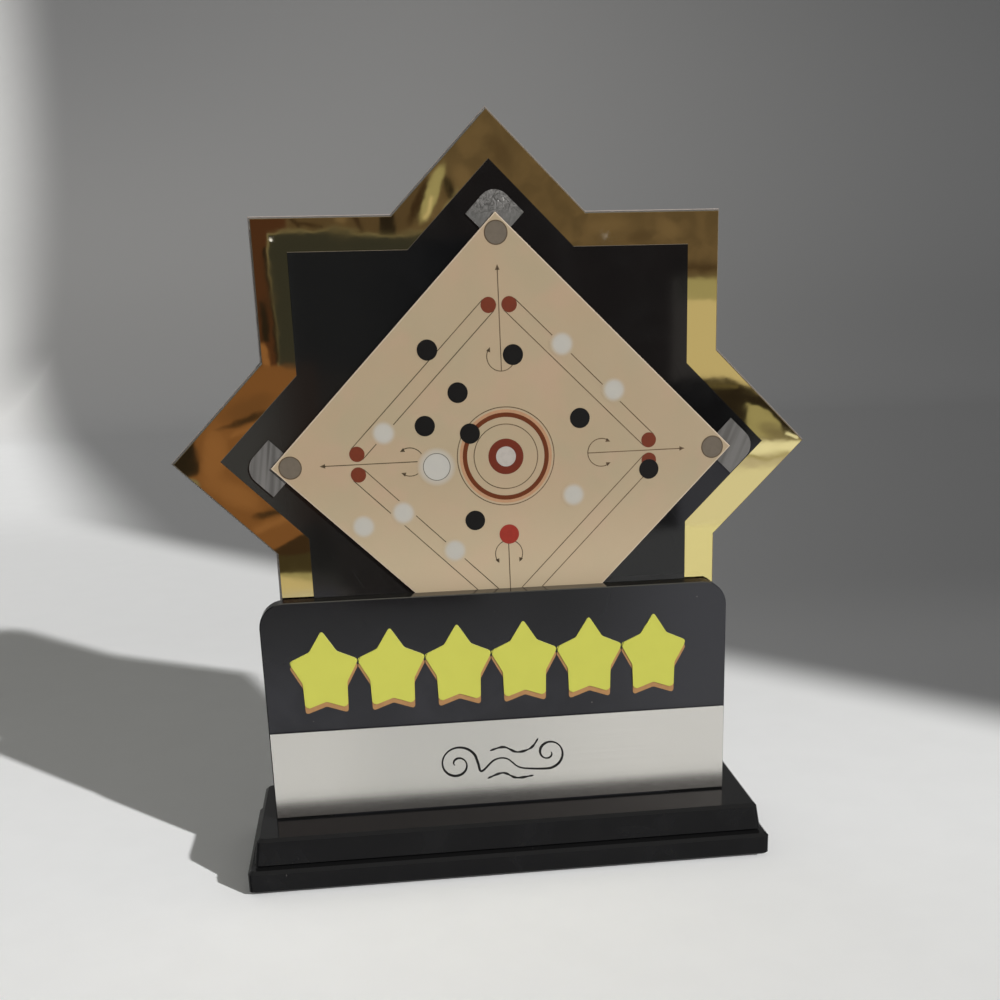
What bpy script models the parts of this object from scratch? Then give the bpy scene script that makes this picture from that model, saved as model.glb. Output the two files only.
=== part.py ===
"""Standing carrom trophy: layered star plaque, front panel and two-step plinth.

Metres, +Z up. The front faces -Y. The origin is on the floor, under the middle of the plinth.
"""

import math

import bmesh
import bpy
from mathutils import Vector

MM = 0.001

# Gap left between pieces that touch or are cut for one another.
GAP = 0.3 * MM

# How far a cutter runs past the face it opens.
CUTTER_OVERRUN = 1.0 * MM

# Plinth, from the floor up.
FELT_WIDTH = 145.0 * MM
FELT_DEPTH = 45.0 * MM
FELT_THICKNESS = 0.7 * MM
LOWER_STEP_WIDTH = 149.8 * MM
LOWER_STEP_DEPTH = 50.0 * MM
LOWER_STEP_HEIGHT = 6.4 * MM
UPPER_STEP_TOP_WIDTH = 144.2 * MM
UPPER_STEP_TOP_DEPTH = 43.0 * MM
UPPER_STEP_HEIGHT = 7.9 * MM
UPPER_STEP_FLARE = 0.9 * MM
STEP_CHAMFER = 0.9 * MM
STEP_FOOT_CHAMFER = 0.45 * MM
STEP_CORNER_RADIUS = 1.6 * MM

# Front panel and the silver strip on it.
PANEL_WIDTH = 132.6 * MM
PANEL_THICKNESS = 5.0 * MM
PANEL_TOP_Z = 79.4 * MM
PANEL_CORNER_RADIUS = 7.0 * MM
PANEL_SHIFT_X = -0.9 * MM
TENON_WIDTH = 100.0 * MM
TENON_DEPTH = 5.5 * MM
SILVER_TOP_Z = 41.8 * MM
SILVER_THICKNESS = 0.5 * MM
SILVER_SIDE_MARGIN = 0.35 * MM
SILVER_FOOT_MARGIN = 0.6 * MM

# Star plaque. A star of half side s is a square of half side s with the same square at 45 degrees.
# The black star is a film on the gold mirror; the mirror is taped to the clear backing.
GOLD_HALF_SIDE = 62.0 * MM
GOLD_THICKNESS = 1.0 * MM
GOLD_CENTRE_Z = 117.5 * MM
BLACK_HALF_SIDE = 53.3 * MM
BLACK_THICKNESS = 0.5 * MM
BLACK_CENTRE_Z = 117.9 * MM
BLACK_SLIP_X = 0.2 * MM
BACKING_RIM = 0.65 * MM
BACKING_THICKNESS = 3.0 * MM
FOOT_WIDTH = 70.0 * MM
STAR_SHIFT_X = 1.1 * MM

# Board, a printed sheet: a square that stands on its corner, over four bits of silver film.
BOARD_SIDE = 90.4 * MM
BOARD_THICKNESS = 0.4 * MM
BOARD_CENTRE_Z = 116.3 * MM
BOARD_SHIFT_X = 3.15 * MM
BOARD_TILT = math.radians(0.6)
CORNER_PLATE_THICKNESS = 0.2 * MM
CORNER_PLATE_REACH = 5.2 * MM
CORNER_PLATE_LEG = 5.7 * MM
CORNER_PLATE_UNDERLAP = 3.0 * MM
CORNER_PLATE_RADIUS = 4.6 * MM
LEFT_CORNER_PLATE_SLIP = 0.3 * MM
RIGHT_CORNER_PLATE_SLIP = 0.7 * MM

# Hidden tape and foam: each size is a width and a height.
STAR_TAPE_THICKNESS = 0.4 * MM
STAR_TAPE_SIZE = (26.0 * MM, 12.0 * MM)
STAR_TAPE_TOP_RISE = 42.0 * MM
STAR_TAPE_SIDE_SPREAD = 38.0 * MM
STAR_TAPE_SIDE_DROP = 8.0 * MM
BOARD_TAPE_THICKNESS = CORNER_PLATE_THICKNESS
BOARD_TAPE_SIZE = (50.0 * MM, 12.0 * MM)
BOARD_TAPE_SPREAD = 22.0 * MM
PANEL_PAD_SIZE = (20.0 * MM, 9.0 * MM)
PANEL_PAD_SPREAD = 39.0 * MM
PANEL_PAD_Z = 71.0 * MM

# Countersunk screws that join the plinth steps.
SCREW_SPREAD_X = 61.0 * MM
SCREW_SPREAD_Y = 12.0 * MM
SCREW_RADIUS = 1.5 * MM
SCREW_CORE_RADIUS = 1.15 * MM
SCREW_HEAD_RADIUS = 2.9 * MM
SCREW_LENGTH = 10.5 * MM
SCREW_PITCH = 0.9 * MM
SCREW_HEAD_RECESS = 0.4 * MM
SCREW_HEAD_EDGE = 0.2 * MM
SCREW_STEPS = 16
RECESS_WIDTH = 0.9 * MM
RECESS_LENGTH = 3.2 * MM
RECESS_DEPTH = 1.1 * MM

# One thread ridge, as fractions of the pitch, and the screw's blunt tip, of its core.
RIDGE_CREST_START = 0.4
RIDGE_CREST_END = 0.5
RIDGE_END = 0.9
SCREW_TIP_RATIO = 0.25

# Fine breaks on cut edges.
ACRYLIC_BREAK = 0.25 * MM
MIRROR_BREAK = 0.15 * MM
FILM_BREAK = 0.12 * MM
ARC_STEPS = 8
ROUND_STEPS = 32

# Heights of the plinth's faces.
LOWER_STEP_Z = FELT_THICKNESS + GAP
UPPER_STEP_Z = LOWER_STEP_Z + LOWER_STEP_HEIGHT + GAP
PLINTH_TOP_Z = UPPER_STEP_Z + UPPER_STEP_HEIGHT

# Depths of the plaque's layers, from the panel back: each is the Y of a front face.
BOARD_FRONT_Y = -1.6 * MM
PANEL_FRONT_Y = BOARD_FRONT_Y - GAP - PANEL_THICKNESS
BOARD_TAPE_FRONT_Y = BOARD_FRONT_Y + BOARD_THICKNESS + GAP
BLACK_FRONT_Y = BOARD_TAPE_FRONT_Y + BOARD_TAPE_THICKNESS + GAP
GOLD_FRONT_Y = BLACK_FRONT_Y + BLACK_THICKNESS + GAP
STAR_TAPE_FRONT_Y = GOLD_FRONT_Y + GOLD_THICKNESS + GAP
BACKING_FRONT_Y = STAR_TAPE_FRONT_Y + STAR_TAPE_THICKNESS + GAP


def clear_scene():
    for obj in list(bpy.data.objects):
        bpy.data.objects.remove(obj, do_unlink=True)


def make_material(name, color, roughness, metallic=0.0, coat=0.0, transmission=0.0):
    material = bpy.data.materials.new(name)
    material.use_nodes = True
    material.diffuse_color = (*color, 1.0)
    shader = material.node_tree.nodes["Principled BSDF"]
    shader.inputs["Base Color"].default_value = (*color, 1.0)
    shader.inputs["Roughness"].default_value = roughness
    shader.inputs["Metallic"].default_value = metallic
    shader.inputs["Coat Weight"].default_value = coat
    shader.inputs["Transmission Weight"].default_value = transmission
    return material


def finish_mesh(bm, name):
    bmesh.ops.recalc_face_normals(bm, faces=bm.faces)
    mesh = bpy.data.meshes.new(name)
    bm.to_mesh(mesh)
    bm.free()
    return mesh


def add_object(name, mesh, material, location=(0.0, 0.0, 0.0), parent=None):
    obj = bpy.data.objects.new(name, mesh)
    bpy.context.scene.collection.objects.link(obj)
    obj.location = location
    obj.parent = parent
    if material is not None:
        obj.data.materials.append(material)
    return obj


def arc(centre, radius, start_deg, end_deg, steps=ARC_STEPS):
    """Points on a circular arc, both ends included."""
    points = []
    for i in range(steps + 1):
        angle = math.radians(start_deg + (end_deg - start_deg) * i / steps)
        offset = Vector((math.cos(angle), math.sin(angle))) * radius
        points.append(Vector(centre) + offset)
    return points


def rectangle(width, height):
    w, h = width / 2, height / 2
    return [Vector((-w, -h)), Vector((w, -h)), Vector((w, h)), Vector((-w, h))]


def rounded_rectangle(width, height, radius, steps=4):
    w, h = width / 2 - radius, height / 2 - radius
    corners = (((w, -h), -90), ((w, h), 0), ((-w, h), 90), ((-w, -h), 180))
    points = []
    for centre, start in corners:
        points += arc(centre, radius, start, start + 90, steps)
    return points


def star(half_side):
    """The sixteen corners of a square joined with itself at 45 degrees, from the right point round."""
    tip = half_side / math.cos(math.radians(45.0))
    notch = half_side / math.cos(math.radians(22.5))
    points = []
    for i in range(16):
        radius = notch if i % 2 else tip
        angle = math.radians(22.5 * i)
        points.append(Vector((math.cos(angle), math.sin(angle))) * radius)
    return points


def star_with_foot(half_side, foot_width, foot_bottom):
    """A star whose lowest tip, with the notches beside it, gives way to a foot wider than they are."""
    w = foot_width / 2
    foot = [(-w, -half_side), (-w, foot_bottom), (w, foot_bottom), (w, -half_side)]
    points = star(half_side)
    return points[:11] + [Vector(corner) for corner in foot] + points[14:]


def plate(name, outline, thickness, edge_break=0.0):
    """An upright sheet: the outline is in X and Z, the front face at Y = 0, the back at Y = thickness."""
    bm = bmesh.new()
    corners = [bm.verts.new((p.x, 0.0, p.y)) for p in outline]
    front = bm.faces.new(corners)
    extruded = bmesh.ops.extrude_face_region(bm, geom=[front], use_keep_orig=True)
    moved = [item for item in extruded["geom"] if isinstance(item, bmesh.types.BMVert)]
    bmesh.ops.translate(bm, verts=moved, vec=(0.0, thickness, 0.0))
    if edge_break > 0.0:
        rims = [e for e in bm.edges if abs(e.verts[0].co.y - e.verts[1].co.y) < thickness / 2]
        bmesh.ops.bevel(bm, geom=rims, offset=edge_break, segments=1, affect="EDGES")
    return finish_mesh(bm, name)


def block(name, levels):
    """A solid through level outlines, each (z, points), listed from the bottom up."""
    bm = bmesh.new()
    rings = []
    for z, outline in levels:
        rings.append([bm.verts.new((p.x, p.y, z)) for p in outline])
    count = len(rings[0])
    for below, above in zip(rings, rings[1:]):
        for i in range(count):
            j = (i + 1) % count
            bm.faces.new((below[i], below[j], above[j], above[i]))
    bm.faces.new(rings[0][::-1])
    bm.faces.new(rings[-1])
    return finish_mesh(bm, name)


def turned(name, profile, steps=ROUND_STEPS):
    """A solid of revolution about Z. The profile runs up from the axis to the axis as (radius, z)."""
    bm = bmesh.new()
    bottom = bm.verts.new((0.0, 0.0, profile[0][1]))
    top = bm.verts.new((0.0, 0.0, profile[-1][1]))
    rings = []
    for radius, z in profile[1:-1]:
        ring = []
        for i in range(steps):
            angle = 2.0 * math.pi * i / steps
            ring.append(bm.verts.new((radius * math.cos(angle), radius * math.sin(angle), z)))
        rings.append(ring)
    for i in range(steps):
        j = (i + 1) % steps
        bm.faces.new((bottom, rings[0][j], rings[0][i]))
        for below, above in zip(rings, rings[1:]):
            bm.faces.new((below[i], below[j], above[j], above[i]))
        bm.faces.new((rings[-1][i], rings[-1][j], top))
    mesh = finish_mesh(bm, name)
    mesh.shade_smooth()
    mesh.set_sharp_from_angle(angle=math.radians(30.0))
    return mesh


def cut(obj, cutters):
    """Boolean differences, left as modifiers. The cutters stay as hidden wire guides."""
    for cutter in cutters:
        cutter.hide_render = True
        cutter.display_type = "WIRE"
        modifier = obj.modifiers.new(cutter.name, "BOOLEAN")
        modifier.operation = "DIFFERENCE"
        modifier.solver = "EXACT"
        modifier.object = cutter


def box_cutter(name, size, centre):
    width, depth, height = size
    outline = rectangle(width, depth)
    mesh = block(name, [(-height / 2, outline), (height / 2, outline)])
    return add_object(name, mesh, None, centre)


def screw_places():
    """Floor positions of the four screws, under the middle of the plinth's corners."""
    return [
        (sx * SCREW_SPREAD_X, sy * SCREW_SPREAD_Y)
        for sy in (-1, 1)
        for sx in (-1, 1)
    ]


def build_felt(material, root):
    outline = rounded_rectangle(FELT_WIDTH, FELT_DEPTH, STEP_CORNER_RADIUS)
    mesh = block("felt_sheet", [(0.0, outline), (FELT_THICKNESS, outline)])
    add_object("felt_sheet", mesh, material, parent=root)


def step_levels(bottom_size, top_size, height):
    """Outlines of a plinth step: chamfered at the foot and, more widely, round the top."""
    foot = STEP_FOOT_CHAMFER

    def outline(size, inset):
        radius = STEP_CORNER_RADIUS
        return rounded_rectangle(size[0] - 2 * inset, size[1] - 2 * inset, radius)

    return [
        (0.0, outline(bottom_size, foot)),
        (foot, outline(bottom_size, 0.0)),
        (height - STEP_CHAMFER, outline(top_size, 0.0)),
        (height, outline(top_size, STEP_CHAMFER)),
    ]


def build_lower_step(material, root):
    size = (LOWER_STEP_WIDTH, LOWER_STEP_DEPTH)
    mesh = block("plinth_lower_step", step_levels(size, size, LOWER_STEP_HEIGHT))
    step = add_object("plinth_lower_step", mesh, material, (0.0, 0.0, LOWER_STEP_Z), root)
    hole = SCREW_RADIUS + GAP
    head = SCREW_HEAD_RADIUS + GAP
    cone = head - hole
    profile = [
        (0.0, -CUTTER_OVERRUN),
        (head, -CUTTER_OVERRUN),
        (head, SCREW_HEAD_RECESS),
        (hole, SCREW_HEAD_RECESS + cone),
        (hole, LOWER_STEP_HEIGHT + CUTTER_OVERRUN),
        (0.0, LOWER_STEP_HEIGHT + CUTTER_OVERRUN),
    ]
    cutters = []
    for i, (x, y) in enumerate(screw_places(), 1):
        name = f"cut_countersink_{i}"
        cutters.append(add_object(name, turned(name, profile), None, (x, y, LOWER_STEP_Z)))
    cut(step, cutters)


def build_upper_step(material, root):
    top_size = (UPPER_STEP_TOP_WIDTH, UPPER_STEP_TOP_DEPTH)
    bottom_size = tuple(side + 2 * UPPER_STEP_FLARE for side in top_size)
    mesh = block("plinth_upper_step", step_levels(bottom_size, top_size, UPPER_STEP_HEIGHT))
    step = add_object("plinth_upper_step", mesh, material, (0.0, 0.0, UPPER_STEP_Z), root)
    slot_height = 2 * (TENON_DEPTH + GAP)
    panel_slot = box_cutter(
        "cut_panel_slot",
        (TENON_WIDTH + 2 * GAP, PANEL_THICKNESS + 2 * GAP, slot_height),
        (PANEL_SHIFT_X, PANEL_FRONT_Y + PANEL_THICKNESS / 2, PLINTH_TOP_Z),
    )
    foot_slot = box_cutter(
        "cut_foot_slot",
        (FOOT_WIDTH + 2 * GAP, BACKING_THICKNESS + 2 * GAP, slot_height),
        (STAR_SHIFT_X, BACKING_FRONT_Y + BACKING_THICKNESS / 2, PLINTH_TOP_Z),
    )
    pilot_top = LOWER_STEP_Z + SCREW_HEAD_RECESS + SCREW_LENGTH + GAP - UPPER_STEP_Z
    pilot = SCREW_RADIUS + GAP
    profile = [
        (0.0, -CUTTER_OVERRUN),
        (pilot, -CUTTER_OVERRUN),
        (pilot, pilot_top),
        (0.0, pilot_top),
    ]
    cutters = [panel_slot, foot_slot]
    for i, (x, y) in enumerate(screw_places(), 1):
        name = f"cut_pilot_{i}"
        cutters.append(add_object(name, turned(name, profile), None, (x, y, UPPER_STEP_Z)))
    cut(step, cutters)


def screw_profile():
    """Half section of a countersunk screw, head down, with its thread as shallow ridges."""
    cone_top = SCREW_HEAD_RADIUS - SCREW_CORE_RADIUS
    profile = [
        (0.0, 0.0),
        (SCREW_HEAD_RADIUS - SCREW_HEAD_EDGE, 0.0),
        (SCREW_HEAD_RADIUS, SCREW_HEAD_EDGE),
        (SCREW_CORE_RADIUS, cone_top),
    ]
    tip_start = SCREW_LENGTH - 2 * SCREW_CORE_RADIUS
    z = cone_top + SCREW_PITCH
    while z + SCREW_PITCH < tip_start:
        profile.append((SCREW_CORE_RADIUS, z))
        profile.append((SCREW_RADIUS, z + SCREW_PITCH * RIDGE_CREST_START))
        profile.append((SCREW_RADIUS, z + SCREW_PITCH * RIDGE_CREST_END))
        profile.append((SCREW_CORE_RADIUS, z + SCREW_PITCH * RIDGE_END))
        z += SCREW_PITCH
    profile.append((SCREW_CORE_RADIUS, tip_start))
    profile.append((SCREW_CORE_RADIUS * SCREW_TIP_RATIO, SCREW_LENGTH))
    profile.append((0.0, SCREW_LENGTH))
    return profile


def cross(length, width):
    """Outline of a plus sign, from the right arm's lower corner round."""
    points = []
    for turn in range(4):
        angle = math.radians(90.0 * turn)
        along = Vector((math.cos(angle), math.sin(angle)))
        across = Vector((-along.y, along.x))
        points.append(along * length / 2 - across * width / 2)
        points.append(along * length / 2 + across * width / 2)
        points.append(along * width / 2 + across * width / 2)
    return points


def build_screws(material, root):
    z = LOWER_STEP_Z + SCREW_HEAD_RECESS
    outline = cross(RECESS_LENGTH, RECESS_WIDTH)
    for number, (x, y) in enumerate(screw_places(), 1):
        name = f"plinth_screw_{number}"
        mesh = turned(name, screw_profile(), SCREW_STEPS)
        screw = add_object(name, mesh, material, (x, y, z), root)
        recess = block(f"cut_recess_{number}", [(-RECESS_DEPTH, outline), (RECESS_DEPTH, outline)])
        cut(screw, [add_object(f"cut_recess_{number}", recess, None, (x, y, z))])


def build_panel(material, root):
    """The front panel: rounded top corners, square shoulders, and a tenon that enters the plinth."""
    w = PANEL_WIDTH / 2
    t = TENON_WIDTH / 2
    shoulder = PLINTH_TOP_Z + GAP
    tenon_foot = PLINTH_TOP_Z - TENON_DEPTH
    r = PANEL_CORNER_RADIUS
    outline = [Vector(p) for p in ((-w, shoulder), (-t, shoulder), (-t, tenon_foot))]
    outline += [Vector(p) for p in ((t, tenon_foot), (t, shoulder), (w, shoulder))]
    outline += arc((w - r, PANEL_TOP_Z - r), r, 0, 90)
    outline += arc((r - w, PANEL_TOP_Z - r), r, 90, 180)
    mesh = plate("front_panel", outline, PANEL_THICKNESS, ACRYLIC_BREAK)
    add_object("front_panel", mesh, material, (PANEL_SHIFT_X, PANEL_FRONT_Y, 0.0), root)


def build_silver_strip(material, root):
    width = PANEL_WIDTH - 2 * SILVER_SIDE_MARGIN
    foot = PLINTH_TOP_Z + SILVER_FOOT_MARGIN
    height = SILVER_TOP_Z - foot
    mesh = plate("silver_strip", rectangle(width, height), SILVER_THICKNESS)
    front = PANEL_FRONT_Y - GAP - SILVER_THICKNESS
    add_object(
        "silver_strip", mesh, material, (PANEL_SHIFT_X, front, foot + height / 2), root
    )


def build_stars(materials, root):
    black = plate("black_star", star(BLACK_HALF_SIDE), BLACK_THICKNESS, FILM_BREAK)
    place = (STAR_SHIFT_X + BLACK_SLIP_X, BLACK_FRONT_Y, BLACK_CENTRE_Z)
    add_object("black_star", black, materials["gloss_black"], place, root)

    gold = plate("gold_mirror_star", star(GOLD_HALF_SIDE), GOLD_THICKNESS, MIRROR_BREAK)
    place = (STAR_SHIFT_X, GOLD_FRONT_Y, GOLD_CENTRE_Z)
    add_object("gold_mirror_star", gold, materials["gold_mirror"], place, root)

    foot_bottom = PLINTH_TOP_Z - TENON_DEPTH - GOLD_CENTRE_Z
    outline = star_with_foot(GOLD_HALF_SIDE + BACKING_RIM, FOOT_WIDTH, foot_bottom)
    backing = plate("clear_backing_star", outline, BACKING_THICKNESS, ACRYLIC_BREAK)
    place = (STAR_SHIFT_X, BACKING_FRONT_Y, GOLD_CENTRE_Z)
    add_object("clear_backing_star", backing, materials["clear_acrylic"], place, root)


def build_board(material, root):
    """The printed board sheet: a plain square, turned to stand on its corner."""
    mesh = plate("board_plate", rectangle(BOARD_SIDE, BOARD_SIDE), BOARD_THICKNESS, FILM_BREAK)
    place = (BOARD_SHIFT_X, BOARD_FRONT_Y, BOARD_CENTRE_Z)
    board = add_object("board_plate", mesh, material, place, root)
    board.rotation_euler.y = math.radians(45.0) - BOARD_TILT


def corner_plate_outline():
    """A square with one round corner, measured from the board's corner along its two edges."""
    far = CORNER_PLATE_REACH
    near = -CORNER_PLATE_LEG
    inner = -CORNER_PLATE_UNDERLAP
    r = CORNER_PLATE_RADIUS
    outline = [Vector(p) for p in ((near, inner), (inner, inner), (inner, near), (far, near))]
    outline += arc((far - r, far - r), r, 0, 90)
    outline.append(Vector((near, far)))
    return outline


def build_corner_plates(material, root):
    """Four alike, one at each corner of the board, tucked under its edges."""
    front = BLACK_FRONT_Y - GAP - CORNER_PLATE_THICKNESS
    slips = {"left": LEFT_CORNER_PLATE_SLIP, "right": RIGHT_CORNER_PLATE_SLIP}
    for i, side in enumerate(("right", "top", "left", "bottom")):
        name = f"corner_plate_{side}"
        direction = math.radians(90.0 * i) + BOARD_TILT
        reach = BOARD_SIDE / math.sqrt(2.0) + slips.get(side, 0.0)
        x = BOARD_SHIFT_X + reach * math.cos(direction)
        z = BOARD_CENTRE_Z + reach * math.sin(direction)
        mesh = plate(name, corner_plate_outline(), CORNER_PLATE_THICKNESS)
        obj = add_object(name, mesh, material, (x, front, z), root)
        obj.rotation_euler.y = math.radians(45.0) - direction


def build_star_tapes(material, root):
    """Three strips of double-sided tape between the gold mirror and the clear backing."""
    places = {
        "top": (0.0, STAR_TAPE_TOP_RISE),
        "left": (-STAR_TAPE_SIDE_SPREAD, -STAR_TAPE_SIDE_DROP),
        "right": (STAR_TAPE_SIDE_SPREAD, -STAR_TAPE_SIDE_DROP),
    }
    for side, (x, z) in places.items():
        name = f"star_tape_{side}"
        mesh = plate(name, rectangle(*STAR_TAPE_SIZE), STAR_TAPE_THICKNESS)
        place = (STAR_SHIFT_X + x, STAR_TAPE_FRONT_Y, GOLD_CENTRE_Z + z)
        add_object(name, mesh, material, place, root)


def build_board_tapes(material, root):
    """Two strips of double-sided tape between the board and the black star."""
    for label, rise in (("upper", BOARD_TAPE_SPREAD), ("lower", -BOARD_TAPE_SPREAD)):
        name = f"board_tape_{label}"
        mesh = plate(name, rectangle(*BOARD_TAPE_SIZE), BOARD_TAPE_THICKNESS)
        place = (BOARD_SHIFT_X, BOARD_TAPE_FRONT_Y, BOARD_CENTRE_Z + rise)
        add_object(name, mesh, material, place, root)


def build_panel_pads(material, root):
    """Thin foam pads that fill the space between the front panel and the black star."""
    front = PANEL_FRONT_Y + PANEL_THICKNESS + GAP
    depth = BLACK_FRONT_Y - GAP - front
    for side, sign in (("left", -1), ("right", 1)):
        name = f"panel_pad_{side}"
        mesh = plate(name, rectangle(*PANEL_PAD_SIZE), depth)
        place = (STAR_SHIFT_X + sign * PANEL_PAD_SPREAD, front, PANEL_PAD_Z)
        add_object(name, mesh, material, place, root)


def make_materials():
    return {
        "gloss_black": make_material("gloss_black", (0.012, 0.012, 0.014), 0.08, coat=0.5),
        "gold_mirror": make_material("gold_mirror", (0.72, 0.52, 0.18), 0.03, 1.0),
        "clear_acrylic": make_material("clear_acrylic", (0.9, 0.88, 0.86), 0.05, transmission=0.9),
        "satin_silver": make_material("satin_silver", (0.62, 0.61, 0.57), 0.35, 0.9),
        "brushed_silver": make_material("brushed_silver", (0.42, 0.41, 0.39), 0.4, 0.8),
        "printed_board": make_material("printed_board", (0.62, 0.46, 0.32), 0.4),
        "black_felt": make_material("black_felt", (0.02, 0.02, 0.02), 0.95),
        "zinc_steel": make_material("zinc_steel", (0.6, 0.6, 0.62), 0.3, 1.0),
        "tape": make_material("tape", (0.85, 0.84, 0.8), 0.6),
        "foam": make_material("foam", (0.8, 0.8, 0.78), 0.8),
    }


def main():
    clear_scene()
    root = bpy.data.objects.new("trophy", None)
    bpy.context.scene.collection.objects.link(root)
    materials = make_materials()
    build_felt(materials["black_felt"], root)
    build_lower_step(materials["gloss_black"], root)
    build_upper_step(materials["gloss_black"], root)
    build_screws(materials["zinc_steel"], root)
    build_panel(materials["gloss_black"], root)
    build_silver_strip(materials["satin_silver"], root)
    build_stars(materials, root)
    build_board(materials["printed_board"], root)
    build_corner_plates(materials["brushed_silver"], root)
    build_star_tapes(materials["tape"], root)
    build_board_tapes(materials["tape"], root)
    build_panel_pads(materials["foam"], root)


main()
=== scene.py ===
"""Looks of the carrom trophy: printed artwork, procedural materials, plain studio and camera.

Metres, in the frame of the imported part: +Z up, the front faces -Y.
Artwork sizes are written in millimetres and scaled once, where a mesh is made.
"""

import math

import bmesh
import bpy
from mathutils import Matrix, Vector


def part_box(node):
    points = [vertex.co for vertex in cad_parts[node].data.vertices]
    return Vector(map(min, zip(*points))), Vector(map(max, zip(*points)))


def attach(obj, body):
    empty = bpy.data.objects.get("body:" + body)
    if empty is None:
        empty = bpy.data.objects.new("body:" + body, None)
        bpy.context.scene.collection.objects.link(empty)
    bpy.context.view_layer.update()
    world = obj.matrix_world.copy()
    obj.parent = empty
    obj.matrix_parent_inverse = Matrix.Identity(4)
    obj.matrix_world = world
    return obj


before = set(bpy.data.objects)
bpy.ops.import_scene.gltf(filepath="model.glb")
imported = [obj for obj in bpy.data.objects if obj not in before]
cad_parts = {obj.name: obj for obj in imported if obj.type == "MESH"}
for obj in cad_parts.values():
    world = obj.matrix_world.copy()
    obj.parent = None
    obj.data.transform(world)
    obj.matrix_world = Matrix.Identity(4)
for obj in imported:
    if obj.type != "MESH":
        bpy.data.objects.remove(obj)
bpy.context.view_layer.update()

MM = 0.001

# Camera at the photograph's viewing angle.
CAMERA_PLACE = (-33.227 * MM, -362.571 * MM, 163.267 * MM)
CAMERA_YAW = 0.12587
CAMERA_PITCH = -0.30982
CAMERA_ROLL = -0.02368
CAMERA_LENS = 46.8
CAMERA_SENSOR = 36.0
CAMERA_SHIFT = {"shift_x": -0.044063, "shift_y": 0.194324}
CAMERA_REACH = 0.001

# Studio light: the key's travel was read from the shadow on the floor.
KEY_TRAVEL = (-0.62, 0.67, -0.40)
KEY_STRENGTH = 4.5
KEY_ANGLE = math.radians(1.3)
FILL_STRENGTH = 0.21

# Printed board: the layout is in millimetres from the board's middle, u towards its right corner
# and v towards its top corner.
BOARD_TILT = math.radians(0.6)
BOARD_SIDE = 90.4
MAN_RADIUS = 2.75
BASE_RADIUS = 2.08
BASE_ALONG = 40.5
BASE_ACROSS = 2.8
POCKET_RADIUS = 3.05
POCKET_ALONG = 58.7
ARROW_START = 23.2
ARROW_END = 50.8
ARROW_NECK = 1.0
ARROW_HEAD = (1.5, 1.25)
ARC_RADIUS = 3.85
ARC_OVERRUN = 33.0
ARC_SLIP = (0.0, 0.0, -0.8, 0.0)
ARC_HEAD = (1.3, 1.15)
ARC_HEAD_AHEAD = 9.0
ARC_HEAD_TURN = 80.0
LINE_WIDTH = 0.24
RIM_LINE_WIDTH = 0.28
STRIKER_LINE_WIDTH = 0.20
LOOSE_SLIP = (-0.2, 0.1)
BLACK_MEN = (
    (-19.6, 29.4), (3.5, 27.3), (-12.0, 17.9), (-21.4, 9.4),
    (-9.2, 6.8), (21.4, 9.6), (-8.9, -17.2), (40.7, -5.4),
)
WHITE_MEN = (
    (17.0, 29.6), (31.1, 16.8), (-32.7, 8.0), (-28.7, -14.0),
    (-39.9, -17.2), (-15.0, -25.4), (19.1, -11.5),
)
QUEEN = (0.5, -21.6)
STRIKER = (-18.8, -1.8)
STRIKER_RADIUS = 3.68
ROSETTE = (0.25, 0.2)
ROSETTE_LINES = (13.45, 8.84)

# Title band on the front panel: a row of plain stars, each with a shade straight below it.
TITLE_COUNT = 6
TITLE_LEFT = -59.8
TITLE_RIGHT = 53.4
TITLE_FOOT = 48.3
TITLE_TOP = 71.2
TITLE_DROP = 1.5
TITLE_BEVEL = 0.3
TITLE_FILL = 1.03
TITLE_INNER = 0.64
TITLE_TIP_CUT = 1.2
TITLE_NOTCH_CUT = 0.5

# Pen ornament on the silver strip: the width of its stroke, and how it swells and tapers.
PEN_WIDTH = 0.62
PEN_SWELL = 0.16
PEN_BEAT = 34.0
PEN_TAPER = 8.0
PEN_TIP = 0.3

# The mirror's own colour: what it shows is this times what it faces.
GOLD_TINT = (0.885, 0.760, 0.315)

# Heights of ink over the face it lies on, in millimetres.
INK_BAND = 0.012
INK_LINE = 0.022
INK_RED = 0.034
INK_SOFT = 0.046
INK_MAN = 0.060
INK_TOP = 0.072
SHADE_INK = 0.10
TITLE_INK = 0.34
PEN_INK = 0.05

# Broad rings of the rosette: piece, both radii, steps round, height, ink and material slot.
ROSETTE_RINGS = (
    ("board_print_pink_ring", 11.9, 12.8, 96, INK_BAND, "ink_pink", "ink_orange"),
    ("board_print_brown_ring", 10.76, 11.96, 96, INK_LINE, "ink_brown", "ink_red"),
    ("board_print_red_ring", 2.3, 4.88, 64, INK_LINE, "ink_red", "ink_red"),
)


# ---------------------------------------- node trees


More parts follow.
